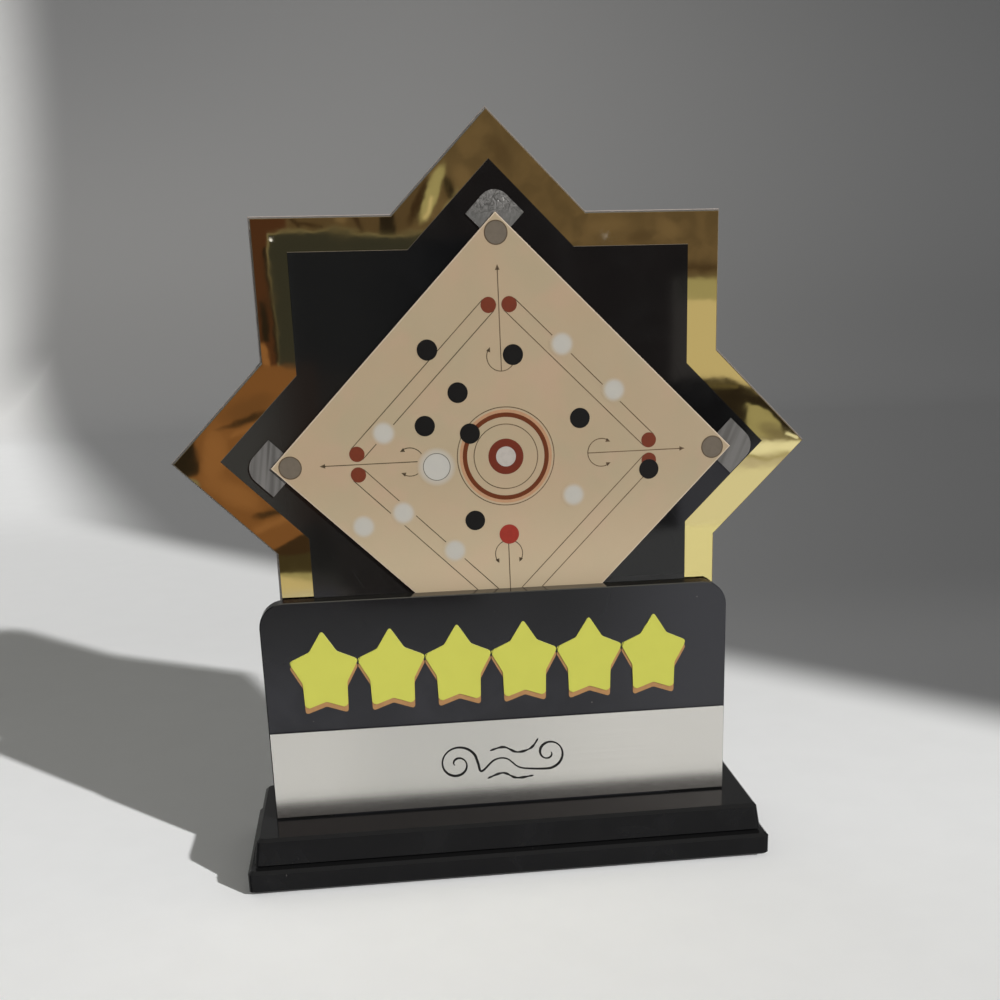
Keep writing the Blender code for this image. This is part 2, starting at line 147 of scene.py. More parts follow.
class Nodes:
    """A node tree that is written as nested calls: each call adds a node and gives its output."""

    def __init__(self, tree):
        self.tree = tree
        tree.nodes.clear()

    def add(self, kind, inputs=None, output=0, **settings):
        node = self.tree.nodes.new(kind)
        for key, value in settings.items():
            setattr(node, key, value)
        for key, value in (inputs or {}).items():
            socket = node.inputs[key]
            if isinstance(value, bpy.types.NodeSocket):
                self.tree.links.new(value, socket)
            elif socket.type == "RGBA":
                socket.default_value = (*value, 1.0)
            else:
                socket.default_value = value
        return node.outputs[output]

    def place(self):
        return self.add("ShaderNodeTexCoord", output="Object")

    def stretched(self, scale, turn=(0.0, 0.0, 0.0)):
        """Places for a texture that is turned first and then drawn out along its own axes."""
        turned = self.add("ShaderNodeMapping", {"Vector": self.place(), "Rotation": turn})
        return self.add("ShaderNodeVectorMath", {0: turned, 1: scale}, operation="MULTIPLY")

    def noise(self, scale, detail=2.0, vector=None, distortion=0.0, roughness=0.5):
        inputs = {
            "Vector": vector or self.place(),
            "Scale": scale,
            "Detail": detail,
            "Distortion": distortion,
            "Roughness": roughness,
        }
        return self.add("ShaderNodeTexNoise", inputs)

    def axis(self, vector, name):
        return self.add("ShaderNodeSeparateXYZ", {0: vector}, output=name)

    def math(self, operation, a, b=0.0, c=0.0):
        return self.add("ShaderNodeMath", {0: a, 1: b, 2: c}, operation=operation)

    def ramp(self, value, low, high, to_low=0.0, to_high=1.0):
        """A smooth step of value from low to high."""
        inputs = {
            "Value": value,
            "From Min": low,
            "From Max": high,
            "To Min": to_low,
            "To Max": to_high,
        }
        return self.add("ShaderNodeMapRange", inputs, interpolation_type="SMOOTHSTEP")

    def mix(self, factor, a, b):
        return self.add("ShaderNodeMixRGB", {"Fac": factor, "Color1": a, "Color2": b})

    def facing(self, name):
        """How far a face looks along an axis of the frame, -1 to 1."""
        return self.axis(self.add("ShaderNodeNewGeometry", output="True Normal"), name)

    def bump(self, height, distance, strength=1.0, normal=None):
        inputs = {"Height": height, "Distance": distance, "Strength": strength}
        if normal is not None:
            inputs["Normal"] = normal
        return self.add("ShaderNodeBump", inputs)


def new_material(name):
    material = bpy.data.materials.new(name)
    material.use_nodes = True
    return material, Nodes(material.node_tree)


def principled(nodes, **inputs):
    named = {key.replace("_", " "): value for key, value in inputs.items()}
    return nodes.add("ShaderNodeBsdfPrincipled", named)


def surface(nodes, shader):
    out = nodes.tree.nodes.new("ShaderNodeOutputMaterial")
    nodes.tree.links.new(shader, out.inputs["Surface"])


# ---------------------------------------- materials


def black_acrylic(name, color, specular, roughness=0.1, rim=None, smear=0.5, **rules):
    """Polished black sheet: slow waviness, wiped smudges, hairline scratches and a little dust.

    rim is the colour painted on bevels and ledges that look up, a painted highlight where light
    from above would fall. The rules are wash, which paints reflected light and shade
    into the tone from place to place, bevel, the painted highlight colour of an upper front bevel,
    unseen, the places that mirrors look past, top_gloss, the shine of faces that look up, and
    side_gloss, how far a face has to look aside to lose its shine, and the share that is left.
    """
    material, n = new_material(name)
    smudge = n.ramp(n.noise(70.0, 4.0, distortion=0.6), 0.42, 0.75)
    hair = n.noise(1.0, 3.0, n.stretched((2600.0, 900.0, 90.0), (0.0, 0.5, 0.0)))
    scratch = n.ramp(hair, 0.68, 0.74)
    cells = n.add(
        "ShaderNodeTexVoronoi", {"Vector": n.place(), "Scale": 330.0, "Randomness": 1.0}
    )
    rare = n.ramp(n.noise(240.0, 0.0), 0.68, 0.72)
    dust = n.math("MULTIPLY", n.ramp(cells, 0.09, 0.04), rare)
    tone = n.mix(smudge, color, tuple(c * (1.0 + smear) + 0.004 * smear for c in color))
    # Painted reflection: a rule may repaint the tone from place to place with reflected light and
    # shade.
    if "wash" in rules:
        tone = rules["wash"](n, tone)
    up = n.facing("Z")
    aside = n.math("ABSOLUTE", n.facing("X"))
    # Painted highlight: faces that look up are painted the rim colour, where light from above would
    # fall; with a bevel colour, upper bevels that face the front are painted that instead.
    if rim:
        painted_highlight_mask = n.ramp(up, 0.15, 0.60)
        if "bevel" in rules:
            painted_highlight_mask = n.math("MULTIPLY", painted_highlight_mask, n.ramp(aside, 0.35, 0.10))
            rim = n.mix(n.ramp(n.facing("Y"), -0.30, -0.60), rim, rules["bevel"])
        else:
            painted_highlight_mask = n.math("MULTIPLY", painted_highlight_mask, n.ramp(n.facing("X"), 0.5, 0.2))
        tone = n.mix(painted_highlight_mask, tone, rim)
    tone = n.mix(n.math("MULTIPLY", dust, 0.25), tone, (0.30, 0.28, 0.26))
    rough = n.math("MULTIPLY_ADD", smudge, 0.09 * smear, roughness)
    rough = n.math("MULTIPLY_ADD", scratch, 0.06, rough)
    wave = n.bump(n.noise(14.0, 1.0), 0.00025)
    gloss = n.ramp(up, 0.5, 0.7, specular, rules.get("top_gloss", specular))
    begins, ends, share = rules.get("side_gloss", (0.3, 0.6, 0.25))
    dull = n.ramp(aside, begins, ends, 1.0, share)
    shader = principled(
        n,
        Base_Color=tone,
        Roughness=rough,
        Specular_IOR_Level=n.math("MULTIPLY", gloss, dull),
        Normal=n.bump(scratch, 0.00001, 0.3, wave),
    )
    if "unseen" in rules:
        mirrored = n.add("ShaderNodeLightPath", output="Is Glossy Ray")
        shader = n.add("ShaderNodeMixShader", {
            0: n.math("MULTIPLY", rules["unseen"](n), mirrored),
            1: shader,
            2: n.add("ShaderNodeBsdfTransparent"),
        })
    surface(n, shader)
    return material


def star_wash(n, tone):
    """Painted reflection: the black star is a little greyer in its left half, and more so at its left
    tip.
    """
    x = n.axis(n.place(), "X")
    tone = n.mix(n.ramp(x, -0.005, -0.040), tone, (0.0068, 0.0068, 0.0064))
    return n.mix(n.ramp(x, -0.048, -0.068), tone, (0.0215, 0.0235, 0.0220))


def panel_wash(n, tone):
    """Painted reflection: the panel is darkest along its top and pales towards its right end."""
    place = n.place()
    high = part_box("front_panel")[1]
    painted_shading_by_height = n.ramp(n.axis(place, "Z"), high.z, high.z - 30.0 * MM, 0.25, 1.0)
    tone = n.mix(painted_shading_by_height, (0.0010, 0.0010, 0.0010), tone)
    right = n.ramp(n.axis(place, "X"), 0.015, 0.062)
    return n.mix(right, tone, (0.0220, 0.0225, 0.0265))


def panel_rim(n):
    """1 on the panel's upper rim: the gold mirror shows what lies beyond it, not the rim."""
    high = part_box("front_panel")[1]
    place = n.place()
    height, depth = n.axis(place, "Z"), n.axis(place, "Y")
    brow = n.math("GREATER_THAN", height, high.z - 0.6 * MM)
    front = n.math("LESS_THAN", depth, high.y - 0.1 * MM)
    upper = n.math("GREATER_THAN", height, high.z - 3.0 * MM)
    return n.math("MAXIMUM", brow, n.math("MULTIPLY", front, upper))


def gold_mirror():
    """Gold acrylic mirror: the front reflects, the back is its grey protective paint."""
    material, n = new_material("gold_mirror_finish")
    tint = n.mix(n.noise(35.0, 2.0), GOLD_TINT, tuple(c * 0.97 for c in GOLD_TINT))
    wave = n.bump(n.noise(17.0, 1.0, distortion=0.4), 0.0002)
    fine = n.bump(n.noise(120.0, 2.0), 0.00001, 1.0, wave)
    haze = n.ramp(n.noise(90.0, 3.0), 0.3, 0.8, 0.02, 0.05)
    front = principled(n, Base_Color=tint, Metallic=1.0, Roughness=haze, Normal=fine)
    speckle = n.mix(n.noise(900.0, 2.0), (0.20, 0.20, 0.19), (0.27, 0.27, 0.26))
    rubbed = n.mix(n.ramp(n.noise(60.0, 4.0), 0.5, 0.7), speckle, (0.33, 0.32, 0.30))
    paint = principled(
        n,
        Base_Color=rubbed,
        Roughness=0.55,
        Normal=n.bump(n.noise(700.0, 3.0), 0.00006),
    )
    cut = principled(n, Base_Color=(0.10, 0.07, 0.03), Roughness=0.35, Specular_IOR_Level=0.3)
    edge = n.math("GREATER_THAN", n.facing("Y"), -0.9)
    behind = n.math("GREATER_THAN", n.facing("Y"), 0.5)
    sheet = n.add("ShaderNodeMixShader", {0: edge, 1: front, 2: cut})
    surface(n, n.add("ShaderNodeMixShader", {0: behind, 1: sheet, 2: paint}))
    return material


def clear_acrylic():
    """Clear sheet: frosted cut edges with painted light and shade by facing; the faces nearly
    invisible.
    """
    material, n = new_material("clear_acrylic_finish")
    facing = n.facing("Y")
    flat = n.math("GREATER_THAN", n.math("ABSOLUTE", facing), 0.95)
    front = n.math("LESS_THAN", facing, 0.0)
    film = n.math("MULTIPLY_ADD", front, 0.20, 0.10)
    film = n.math("MULTIPLY", film, flat)
    edge = n.math("MULTIPLY", n.math("SUBTRACT", 1.0, flat), 0.80)
    solid = n.math("ADD", film, edge)
    saw = n.noise(1.0, 3.0, n.stretched((700.0, 40.0, 700.0)))
    # Painted highlight and shade: cut edges that face up and to the left are painted pale, the others
    # dark, and those facing furthest up and left paler still.
    painted_edge_light = n.ramp(n.math("SUBTRACT", n.facing("Z"), n.facing("X")), -0.2, 0.6)
    pale = n.mix(painted_edge_light, (0.16, 0.14, 0.12), n.mix(saw, (0.40, 0.35, 0.32), (0.28, 0.25, 0.24)))
    painted_upper_left_shading = n.ramp(n.math("SUBTRACT", n.facing("Z"), n.facing("X")), 1.10, 1.35)
    pale = n.mix(painted_upper_left_shading, pale, (0.70, 0.66, 0.63))
    body = principled(
        n,
        Base_Color=pale,
        Roughness=n.math("MULTIPLY_ADD", saw, 0.12, 0.06),
        Normal=n.bump(saw, 0.00002),
    )
    through = n.add("ShaderNodeBsdfTransparent", {"Color": (0.97, 0.975, 0.97)})
    surface(n, n.add("ShaderNodeMixShader", {0: solid, 1: through, 2: body}))
    return material


def satin_silver():
    """Silver laminate with a faint brush along X, a slow change of tone and painted reflection."""
    material, n = new_material("satin_silver_finish")
    brush = n.noise(1.0, 4.0, n.stretched((16.0, 16.0, 5200.0)), roughness=0.6)
    drift = n.noise(22.0, 1.0)
    tone = n.mix(drift, (0.585, 0.578, 0.552), (0.620, 0.612, 0.584))
    # Painted reflection: the strip is painted brighter towards its right end and, less, towards its
    # left end.
    x = n.axis(n.place(), "X")
    ends = n.math("MAXIMUM", n.ramp(x, -0.015, 0.045), n.ramp(x, -0.030, -0.055, 0.0, 0.6))
    tone = n.mix(ends, tone, (0.735, 0.720, 0.685))
    tone = n.mix(n.ramp(brush, 0.35, 0.65, 0.0, 0.25), tone, (0.62, 0.61, 0.58))
    surface(n, principled(
        n,
        Base_Color=tone,
        Metallic=0.95,
        Roughness=n.math("MULTIPLY_ADD", brush, 0.10, 0.19),
        Normal=n.bump(brush, 0.000012),
    ))
    return material


def board_tone(n):
    """Colour of the printed board: beige with slow pinkish and olive drift and fine paper grain."""
    low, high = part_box("board_plate")
    place = n.place()
    drift = n.ramp(n.noise(48.0, 2.0, distortion=0.8), 0.30, 0.70)
    tone = n.mix(drift, (0.300, 0.226, 0.146), (0.280, 0.226, 0.146))
    pink = n.ramp(n.noise(90.0, 2.0), 0.50, 0.72, 0.0, 0.45)
    tone = n.mix(pink, tone, (0.325, 0.222, 0.152))
    # Painted light: the board is painted lighter towards its bottom.
    painted_shading_by_height = n.ramp(n.axis(place, "Z"), (low.z + high.z) / 2, low.z)
    tone = n.mix(painted_shading_by_height, tone, (0.430, 0.345, 0.235))
    grain = n.noise(2600.0, 2.0)
    tone = n.mix(n.math("MULTIPLY", grain, 0.10), tone, (0.22, 0.17, 0.10))
    # Painted highlight: a thin pale line painted just inside the board's edges.
    middle = n.add("ShaderNodeVectorMath", {0: place, 1: (low + high) / 2}, operation="SUBTRACT")
    square = n.add(
        "ShaderNodeVectorRotate",
        {"Vector": middle, "Angle": math.radians(45.0) + BOARD_TILT},
        rotation_type="Y_AXIS",
    )
    reach = n.math("MAXIMUM", *(n.math("ABSOLUTE", n.axis(square, name)) for name in "XZ"))
    half = BOARD_SIDE / 2 * MM
    rim = n.ramp(reach, half - 0.45 * MM, half - 0.15 * MM, 0.0, 0.8)
    return n.mix(rim, tone, (0.44, 0.36, 0.28))


def printed_board(name, fade=False):
    """The board's finish; with fade, white ink that thins out to bare board round its rim."""
    material, n = new_material(name)
    tone = board_tone(n)
    if fade:
        share = n.add("ShaderNodeAttribute", attribute_name="ink_share", output="Fac")
        cloud = n.mix(n.noise(420.0, 2.0), (0.335, 0.322, 0.290), (0.310, 0.302, 0.280))
        tone = n.mix(share, tone, cloud)
    surface(n, principled(
        n,
        Base_Color=tone,
        Roughness=n.ramp(n.noise(60.0, 3.0), 0.3, 0.7, 0.34, 0.42),
        Specular_IOR_Level=0.35,
        Normal=n.bump(n.noise(1500.0, 3.0), 0.000010),
    ))
    return material


def ink(name, color):
    """Solid printed ink with a slightly uneven lay."""
    material, n = new_material(name)
    lay = n.noise(650.0, 3.0)
    tone = n.mix(n.ramp(lay, 0.35, 0.75), color, tuple(c * 0.9 for c in color))
    surface(n, principled(
        n,
        Base_Color=tone,
        Roughness=n.math("MULTIPLY_ADD", lay, 0.15, 0.33),
        Specular_IOR_Level=0.2,
        Normal=n.bump(n.noise(1800.0, 2.0), 0.000008),
    ))
    return material


def line_ink():
    """Fine printed lines: dark olive at the left, fading to a reddish brown at the right."""
    material, n = new_material("ink_line")
    across = n.ramp(n.axis(n.place(), "X"), -0.025, 0.030)
    lay = n.ramp(n.noise(160.0, 2.0), 0.35, 0.65, 0.0, 0.35)
    tone = n.mix(across, (0.045, 0.034, 0.018), (0.070, 0.042, 0.023))
    tone = n.mix(lay, tone, (0.150, 0.100, 0.060))
    surface(n, principled(n, Base_Color=tone, Roughness=0.45, Specular_IOR_Level=0.2))
    return material


def raised_ink(name, color, rim):
    """Thick glossy print: even colour with painted highlight along its upper bevels and towards its
    top.
    """
    material, n = new_material(name)
    lay = n.noise(180.0, 2.0)
    tone = n.mix(n.ramp(lay, 0.3, 0.7, 0.0, 0.35), color, tuple(c * 0.93 for c in color))
    # Painted highlight on bevels that face up, painted shade on bevels that face the floor.
    upper = n.ramp(n.facing("Z"), 0.08, 0.5, 0.0, 0.85)
    lower = n.ramp(n.facing("Z"), -0.08, -0.5, 0.0, 0.6)
    tone = n.mix(upper, tone, rim)
    tone = n.mix(lower, tone, tuple(c * 0.62 for c in color))
    surface(n, principled(
        n,
        Base_Color=tone,
        Roughness=n.math("MULTIPLY_ADD", lay, 0.06, 0.32),
        Specular_IOR_Level=0.2,
        Normal=n.bump(n.noise(900.0, 2.0), 0.000004),
    ))
    return material


def brushed_plate(name, lean, width, wander, crumple, light, contrast):
    """Brushed silver film: streaks that lean to the right, or crinkled where it was handled."""
    material, n = new_material(name)
    lines = n.stretched((1.0 / width, 1.0 / width, 14.0), (0.0, -lean, 0.0))
    broad = n.noise(1.0, 1.0, lines, distortion=wander)
    fine_lines = n.stretched((5.0 / width, 5.0 / width, 30.0), (0.0, -lean, 0.0))
    fine = n.noise(1.0, 2.0, fine_lines, distortion=wander)
    streaks = n.mix(0.12, broad, fine)
    low, high = light * (1.0 - 0.42 * contrast), light * (1.0 + 0.40 * contrast)
    dark, pale = (low, low * 0.96, low * 0.90), (high, high * 0.97, high * 0.94)
    tone = n.mix(n.ramp(streaks, 0.34, 0.66), dark, pale)
    crease = n.noise(520.0, 4.0, distortion=2.2, roughness=0.7)
    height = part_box("corner_plate_top")[1].z
    rise = n.ramp(n.axis(n.place(), "Z"), height - 7.5 * MM, height - 3.5 * MM, 0.15, 1.0)
    share = n.math("MULTIPLY", rise, crumple)
    folded = n.mix(n.ramp(crease, 0.34, 0.68), dark, pale)
    # Painted glints: small bright specks painted on the crinkled film.
    glint = n.ramp(n.noise(900.0, 1.0), 0.72, 0.78)
    folded = n.mix(glint, folded, (0.60, 0.59, 0.56))
    surface(n, principled(
        n,
        Base_Color=n.mix(share, n.mix(crumple, tone, (light, light, light * 0.95)), folded),
        Metallic=0.35,
        Roughness=0.42,
        Normal=n.bump(n.mix(share, streaks, crease), 0.00002 + 0.00016 * crumple, 0.8),
    ))
    return material


def black_felt():
    material, n = new_material("black_felt_finish")
    fibre = n.noise(1.0, 4.0, n.stretched((2600.0, 900.0, 2600.0)), distortion=1.5)
    tuft = n.noise(420.0, 3.0)
    tone = n.mix(n.ramp(tuft, 0.35, 0.7), (0.010, 0.010, 0.011), (0.035, 0.034, 0.034))
    surface(n, principled(
        n,
        Base_Color=n.mix(n.ramp(fibre, 0.55, 0.75), tone, (0.060, 0.058, 0.056)),
        Roughness=0.95,
        Sheen_Weight=0.4,
        Normal=n.bump(fibre, 0.00025),
    ))
    return material


def zinc_steel():
    material, n = new_material("zinc_steel_finish")
    spangle = n.add(
        "ShaderNodeTexVoronoi", {"Vector": n.place(), "Scale": 900.0}, output="Color"
    )
    shade = n.axis(spangle, "X")
    tone = n.mix(shade, (0.50, 0.51, 0.53), (0.66, 0.66, 0.67))
    surface(n, principled(
        n,
        Base_Color=tone,
        Metallic=1.0,
        Roughness=n.math("MULTIPLY_ADD", shade, 0.14, 0.24),
        Normal=n.bump(n.noise(1400.0, 2.0), 0.00002),
    ))
    return material


def sponge(name, light, dark, scale):
    """Foam and foam tape: open cells between a light and a dark tone."""
    material, n = new_material(name)
    cells = n.add("ShaderNodeTexVoronoi", {"Vector": n.place(), "Scale": scale})
    tone = n.mix(n.ramp(cells, 0.1, 0.6), dark, light)
    surface(n, principled(
        n,
        Base_Color=n.mix(n.noise(300.0, 2.0), tone, light),
        Roughness=0.85,
        Normal=n.bump(cells, 0.0001),
    ))
    return material


# ---------------------------------------- flat artwork


def bridge(bm, one, other):
    """Faces between two loops of equal length."""
    for i in range(len(one)):
        j = (i + 1) % len(one)
        bm.faces.new((one[i], one[j], other[j], other[i]))


def prism(bm, outline, front, back):
    """A closed plate from an outline of (x, z) points, between two depths."""
    near = [bm.verts.new((x, front, z)) for x, z in outline]
    far = [bm.verts.new((x, back, z)) for x, z in outline]
    bm.faces.new(near)
    bm.faces.new(far[::-1])
    bridge(bm, near, far)


def band(bm, inner, outer, front, back):
    """A closed ring plate between two outlines of equal length."""
    rings = []
    for outline, depth in ((inner, front), (outer, front), (outer, back), (inner, back)):
        rings.append([bm.verts.new((x, depth, z)) for x, z in outline])
    for k, ring in enumerate(rings):
        bridge(bm, ring, rings[(k + 1) % 4])


def stroke(bm, points, widths, front, back):
    """A closed ribbon plate that follows points with a width at each."""
    rings = []
    last = len(points) - 1
    for i, point in enumerate(points):
        along = Vector(points[min(i + 1, last)]) - Vector(points[max(i - 1, 0)])
        across = Vector((-along.y, along.x)).normalized() * widths[i] / 2
        left, right = Vector(point) + across, Vector(point) - across
        corners = ((left, front), (right, front), (right, back), (left, back))
        rings.append([bm.verts.new((p.x, depth, p.y)) for p, depth in corners])
    for one, other in zip(rings, rings[1:]):
        bridge(bm, one, other)
    bm.faces.new(rings[0][::-1])
    bm.faces.new(rings[-1])


def curl(centre, start, end, first, last, steps=20):
    """Points round centre from one angle to another, in degrees, as the radius changes evenly."""
    points = []
    for i in range(steps + 1):
        angle = math.radians(start + (end - start) * i / steps)
        radius = first + (last - first) * i / steps
        points.append((centre[0] + radius * math.cos(angle), centre[1] + radius * math.sin(angle)))
    return points


def arc_points(centre, radius, start, end, steps=28):
    return curl(centre, start, end, radius, radius, steps)


def circle(centre, radius, steps=48):
    return arc_points(centre, radius, 0.0, 360.0, steps)[:-1]


def add_piece(name, bm, material, matrix):
    """A finished piece that rides on the trophy: matrix takes its millimetres to the frame."""
    bmesh.ops.recalc_face_normals(bm, faces=bm.faces)
    mesh = bpy.data.meshes.new(name)
    bm.to_mesh(mesh)
    bm.free()
    mesh.transform(matrix)
    mesh.materials.append(material)
    obj = bpy.data.objects.new(name, mesh)
    bpy.context.scene.collection.objects.link(obj)
    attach(obj, "root")
    return obj


def face_matrix(x, y, z, turn=0.0):
    """Millimetres on an upright face, x right and z up from its middle, to the frame."""
    turned = Matrix.Rotation(-turn, 4, "Y")
    return Matrix.Translation((x, y, z)) @ turned @ Matrix.Diagonal((MM, MM, MM, 1.0))


def board_matrix():
    low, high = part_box("board_plate")
    return face_matrix((low.x + high.x) / 2, low.y, (low.z + high.z) / 2, BOARD_TILT)


def loose(point):
    """A man's place: the men were laid out a little off the printed lines."""
    return point[0] + LOOSE_SLIP[0], point[1] + LOOSE_SLIP[1]


def turned_about(point, quarter):
    """A point of the board's layout, taken a quarter turn round the board a few times."""
    u, v = point
    for _ in range(quarter):
        u, v = -v, u
    return u, v


# ---------------------------------------- board print


def add_circle_line(bm, centre, radius, width, height, steps=72):
    inner = circle(centre, radius - width / 2, steps)
    outer = circle(centre, radius + width / 2, steps)
    band(bm, inner, outer, -height, 0.0)


def add_line(bm, start, end, width, height):
    stroke(bm, [start, end], [width, width], -height, 0.0)


def arrow_head(bm, tip, heading, length, width, height):
    """A small solid triangle that ends at tip and points along heading, in degrees."""
    angle = math.radians(heading)
    along = Vector((math.cos(angle), math.sin(angle)))
    across = Vector((-along.y, along.x))
    foot = Vector(tip) - along * length
    corners = [Vector(tip), foot + across * width / 2, foot - across * width / 2]
    prism(bm, [(c.x, c.y) for c in corners], -height, 0.0)


def build_board_lines(material, place):
    """Thin dark lines: baselines, diagonal arrows with their arcs, and the rosette's circles."""
    bm = bmesh.new()
    half = math.sqrt(0.5)
    for quarter in range(4):
        turn = 90.0 * quarter
        start = Vector(turned_about((BASE_ALONG, BASE_ACROSS), quarter))
        end = Vector(turned_about((BASE_ACROSS, BASE_ALONG), quarter))
        out = Vector(turned_about((half, half), quarter)) * BASE_RADIUS
        for side in (-1, 1):
            add_line(bm, start + out * side, end + out * side, LINE_WIDTH, INK_LINE)
        inner = turned_about((ARROW_START, 0.0), quarter)
        neck = turned_about((ARROW_END - ARROW_NECK, 0.0), quarter)
        add_line(bm, inner, neck, LINE_WIDTH, INK_LINE)
        arrow_head(bm, turned_about((ARROW_END, 0.0), quarter), turn, *ARROW_HEAD, INK_LINE)
        hub = turned_about((ARROW_START + ARC_RADIUS + ARC_SLIP[quarter], 0.0), quarter)
        first = turn + 90.0 - ARC_OVERRUN
        last = turn + 270.0 + ARC_OVERRUN
        points = arc_points(hub, ARC_RADIUS, first, last)
        stroke(bm, points, [LINE_WIDTH] * len(points), -INK_LINE, 0.0)
        tips = arc_points(hub, ARC_RADIUS, first - ARC_HEAD_AHEAD, last + ARC_HEAD_AHEAD)
        arrow_head(bm, tips[0], first - ARC_HEAD_TURN, *ARC_HEAD, INK_LINE)
        arrow_head(bm, tips[-1], last + ARC_HEAD_TURN, *ARC_HEAD, INK_LINE)
    for radius in ROSETTE_LINES:
        add_circle_line(bm, ROSETTE, radius, LINE_WIDTH, INK_LINE, 96)
    return add_piece("board_print_lines", bm, material, place)


def build_rosette(materials, place):
    for name, inner, outer, steps, height, ink_name, slot in ROSETTE_RINGS:
        bm = bmesh.new()
        band(bm, circle(ROSETTE, inner, steps), circle(ROSETTE, outer, steps), -height, 0.0)
        add_piece(name, bm, materials[ink_name], place)


def build_base_circles(material, place):
    bm = bmesh.new()
    for quarter in range(4):
        for side in (-1, 1):
            centre = turned_about((BASE_ALONG, side * BASE_ACROSS), quarter)
            prism(bm, circle(centre, BASE_RADIUS, 40), -INK_RED, 0.0)
    return add_piece("board_print_base_circles", bm, material, place)


def build_pockets(materials, place):
    bm = bmesh.new()
    for quarter in range(4):
        centre = turned_about((POCKET_ALONG, 0.0), quarter)
        prism(bm, circle(centre, POCKET_RADIUS - 0.15, 48), -INK_LINE, 0.0)
    add_piece("board_print_pockets", bm, materials["ink_grey"], place)
    bm = bmesh.new()
    for quarter in range(4):
        centre = turned_about((POCKET_ALONG, 0.0), quarter)
        add_circle_line(bm, centre, POCKET_RADIUS - 0.06, RIM_LINE_WIDTH, INK_RED, 48)
    add_piece("board_print_pocket_rims", bm, materials["ink_rim"], place)


def build_men(materials, place):
    men = (
        ("board_print_black_men", [loose(man) for man in BLACK_MEN], "ink_black", "ink_black"),
        ("board_print_queen", [loose(QUEEN)], "ink_queen", "ink_red"),
        ("board_print_centre_man", [ROSETTE], "ink_white", "ink_white"),
    )
    for name, centres, ink_name, slot in men:
        bm = bmesh.new()
        for centre in centres:
            prism(bm, circle(centre, MAN_RADIUS, 48), -INK_MAN, 0.0)
        add_piece(name, bm, materials[ink_name], place)


def soft_disc(bm, share, centre, rings, height, steps=48):
    """A low dome of rings, each (radius, ink share): the ink thins out to nothing at the rim."""
    hub = bm.verts.new((centre[0], -height, centre[1]))
    hub[share] = rings[0][1]
    loops = []
    for radius, amount in rings:
        loop = []
        for x, z in circle(centre, radius, steps):
            vert = bm.verts.new((x, -height, z))
            vert[share] = amount
            loop.append(vert)
        loops.append(loop)
    foot = []
    for x, z in circle(centre, rings[-1][0], steps):
        vert = bm.verts.new((x, 0.0, z))
        vert[share] = 0.0
        foot.append(vert)
    loops.append(foot)
    for i in range(steps):
        bm.faces.new((hub, loops[0][i], loops[0][(i + 1) % steps]))
    for one, other in zip(loops, loops[1:]):
        bridge(bm, one, other)
    bm.faces.new(foot)


def build_soft_men(material, line_material, place):
    bm = bmesh.new()
    share = bm.verts.layers.float.new("ink_share")
    r = MAN_RADIUS
    man = ((r * 0.5, 0.97), (r * 0.80, 0.88), (r * 1.0, 0.45), (r * 1.14, 0.12), (r * 1.28, 0.0))
    for centre in WHITE_MEN:
        soft_disc(bm, share, loose(centre), man, INK_SOFT)
    s = STRIKER_RADIUS
    striker = (
        (s * 0.9, 1.0), (s * 0.99, 0.95), (s * 1.03, 0.70),
        (s * 1.18, 0.56), (s * 1.32, 0.30), (s * 1.48, 0.0),
    )
    soft_disc(bm, share, loose(STRIKER), striker, INK_SOFT)
    add_piece("board_print_white_men", bm, material, place)
    bm = bmesh.new()
    add_circle_line(bm, loose(STRIKER), STRIKER_RADIUS, STRIKER_LINE_WIDTH, INK_TOP)
    add_piece("board_print_striker_line", bm, line_material, place)


def build_board_print(materials):
    place = board_matrix()
    build_board_lines(materials["ink_line"], place)
    build_rosette(materials, place)
    build_base_circles(materials["ink_base"], place)
    build_pockets(materials, place)
    build_men(materials, place)
    build_soft_men(materials["ink_soft_white"], materials["ink_thin_grey"], place)


# ---------------------------------------- panel print


def rounded_outline(points, tip, notch, steps=6):
    """The outline with its corners rounded: tip is the cut back at even corners, notch at odd ones."""
    rounded = []
    count = len(points)
    for i in range(count):
        corner = Vector(points[i])
        cut = notch if i % 2 else tip
        before = corner + (Vector(points[i - 1]) - corner).normalized() * cut
        after = corner + (Vector(points[(i + 1) % count]) - corner).normalized() * cut
        for k in range(steps + 1):
            t = k / steps
            point = before * (1 - t) ** 2 + corner * 2 * t * (1 - t) + after * t * t
            rounded.append((point.x, point.y))
    return rounded


def five_star(centre, width, height, inner):
    """A five-point star, one tip up, that fills a width and a height."""
    tip_half = math.sin(math.radians(72.0))
    low = math.cos(math.radians(36.0))
    points = []
    for i in range(10):
        radius = inner if i % 2 else 1.0
        angle = math.radians(90.0 + 36.0 * i)
        x = radius * math.cos(angle) * width / (2 * tip_half)
        z = (radius * math.sin(angle) + low) * height / (1 + low)
        points.append((centre[0] + x, centre[1] - height / 2 + z))
    return points


def title_stars(drop):
    pitch = (TITLE_RIGHT - TITLE_LEFT) / TITLE_COUNT
    height = TITLE_TOP - TITLE_FOOT
    outlines = []
    for i in range(TITLE_COUNT):
        centre = (TITLE_LEFT + pitch * (i + 0.5), (TITLE_TOP + TITLE_FOOT) / 2 - drop)
        star = five_star(centre, pitch * TITLE_FILL, height, TITLE_INNER)
        outlines.append(rounded_outline(star, TITLE_TIP_CUT, TITLE_NOTCH_CUT))
    return outlines


def bevel_front(bm, front, offset):
    rims = [e for e in bm.edges if all(abs(v.co.y - front) < offset * 0.01 for v in e.verts)]
    bmesh.ops.bevel(bm, geom=rims, offset=offset, segments=2, affect="EDGES")


